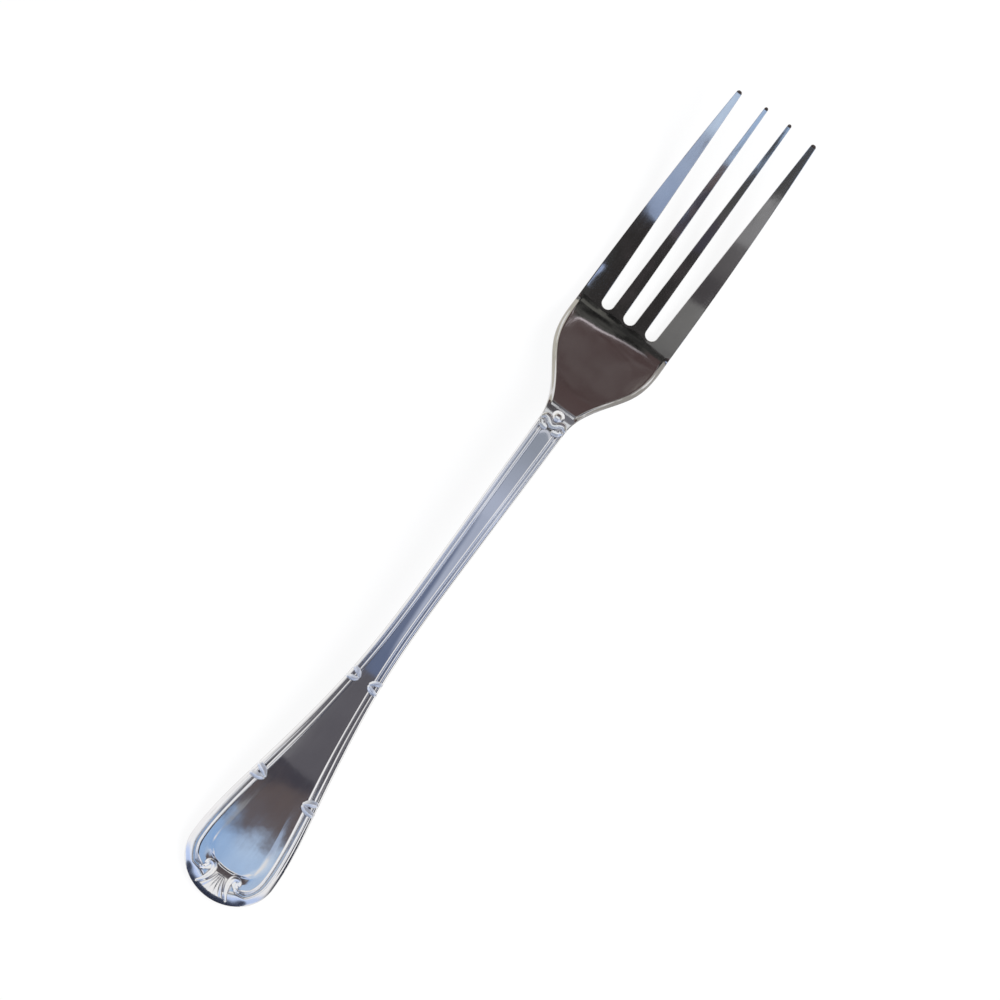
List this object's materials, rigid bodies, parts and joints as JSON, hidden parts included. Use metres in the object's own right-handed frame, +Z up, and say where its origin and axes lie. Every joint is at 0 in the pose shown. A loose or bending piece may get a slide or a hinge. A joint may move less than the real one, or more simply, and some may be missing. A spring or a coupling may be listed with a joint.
{
  "type": "dinner fork",
  "caption": "Polished steel dinner fork with long tapered tines, a dished head and a flared handle edged with raised threads, crossed ribbons, scrolls and a shell.",
  "frame": {"origin": "on the table under the middle of the fork's bounding box", "axes": "+X along the fork towards the tips, +Y to the left, +Z up from the table, hollow side of the head up"},
  "size_m": [0.205, 0.0238, 0.0159],
  "materials": {
    "polished_steel": "mirror-polished stainless steel with faint lengthwise polishing lines",
    "ornament_steel": "polished stainless steel relief, a little darker in the grooves"
  },
  "bodies": {
    "root": {"handle_paddle": "polished_steel", "stem": "polished_steel", "neck": "polished_steel", "bowl": "polished_steel", "tine_inner_left": "polished_steel", "tine_inner_right": "polished_steel", "tine_outer_left": "polished_steel", "tine_outer_right": "polished_steel", "outer_thread_left": "ornament_steel", "outer_thread_right": "ornament_steel", "inner_thread_left": "ornament_steel", "inner_thread_right": "ornament_steel", "lower_ribbon_left": "ornament_steel", "lower_ribbon_right": "ornament_steel", "upper_ribbon_left": "ornament_steel", "upper_ribbon_right": "ornament_steel", "neck_ribbon": "ornament_steel", "neck_bead": "ornament_steel", "scroll_left": "ornament_steel", "scroll_right": "ornament_steel", "shell": "ornament_steel"}
  },
  "joints": []
}
